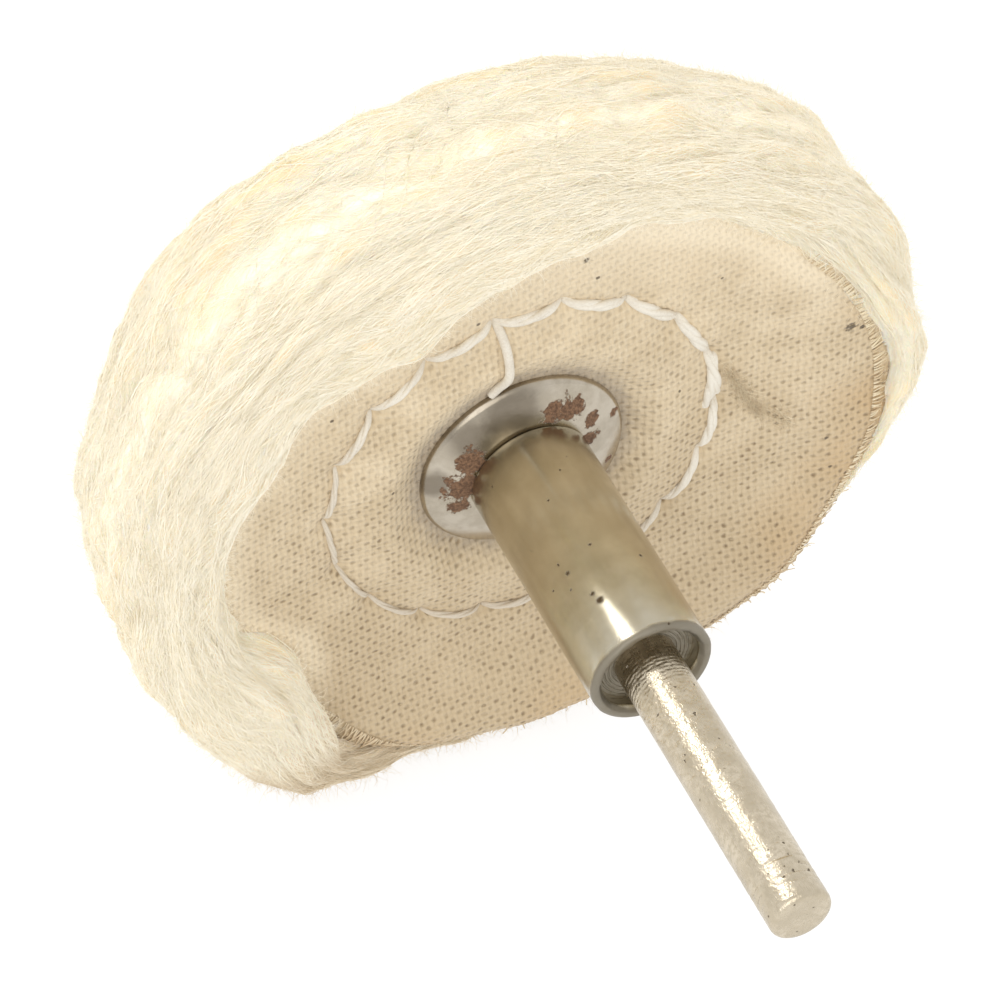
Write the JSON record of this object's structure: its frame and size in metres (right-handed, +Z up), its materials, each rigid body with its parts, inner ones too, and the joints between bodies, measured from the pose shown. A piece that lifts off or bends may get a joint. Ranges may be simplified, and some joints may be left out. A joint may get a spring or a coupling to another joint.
{
  "type": "polishing wheel",
  "caption": "Polishing wheel of stitched cloth discs between two dished washers, with a sleeved hub and a round steel shank for a drill chuck.",
  "frame": {"origin": "on the wheel's axis, in the plane where the shank leaves the hub sleeve", "axes": "+Y along the axis from the shank's tip towards the wheel, +Z up, +X to the right when the wheel is looked at from the shank"},
  "size_m": [0.075, 0.0751, 0.075],
  "materials": {
    "spindle_steel": "nickel plated, warm and slightly tarnished, with fine turning marks",
    "sleeve_nickel": "bright warm nickel plating with small dark pits",
    "bush_steel": "turned and dull",
    "washer_nickel": "nickel plated, with brown rust patches by the sleeve and on the rim",
    "calico": "unbleached plain-woven cotton, frayed to soft cream fluff at the rim",
    "cotton_thread": "soft white cotton sewing thread"
  },
  "bodies": {
    "root": {"spindle": "spindle_steel", "hub_sleeve": "sleeve_nickel", "shank_bush": "bush_steel", "wheel_bush": "bush_steel", "front_washer": "washer_nickel", "back_washer": "washer_nickel", "ply_01": "calico", "ply_02": "calico", "ply_03": "calico", "ply_04": "calico", "ply_05": "calico", "ply_06": "calico", "ply_07": "calico", "ply_08": "calico", "ply_09": "calico", "ply_10": "calico", "ply_11": "calico", "ply_12": "calico", "ply_13": "calico", "ply_14": "calico", "ply_15": "calico", "ply_16": "calico", "ply_17": "calico", "ply_18": "calico", "ply_19": "calico", "ply_20": "calico", "ply_21": "calico", "ply_22": "calico", "ply_23": "calico", "ply_24": "calico", "ply_25": "calico", "ply_26": "calico", "ply_27": "calico", "ply_28": "calico", "ply_29": "calico", "ply_30": "calico", "ply_31": "calico", "ply_32": "calico", "ply_33": "calico", "ply_34": "calico", "ply_35": "calico", "ply_36": "calico", "ply_37": "calico", "ply_38": "calico", "ply_39": "calico", "ply_40": "calico", "needle_thread": "cotton_thread", "bobbin_thread": "cotton_thread"}
  },
  "joints": []
}
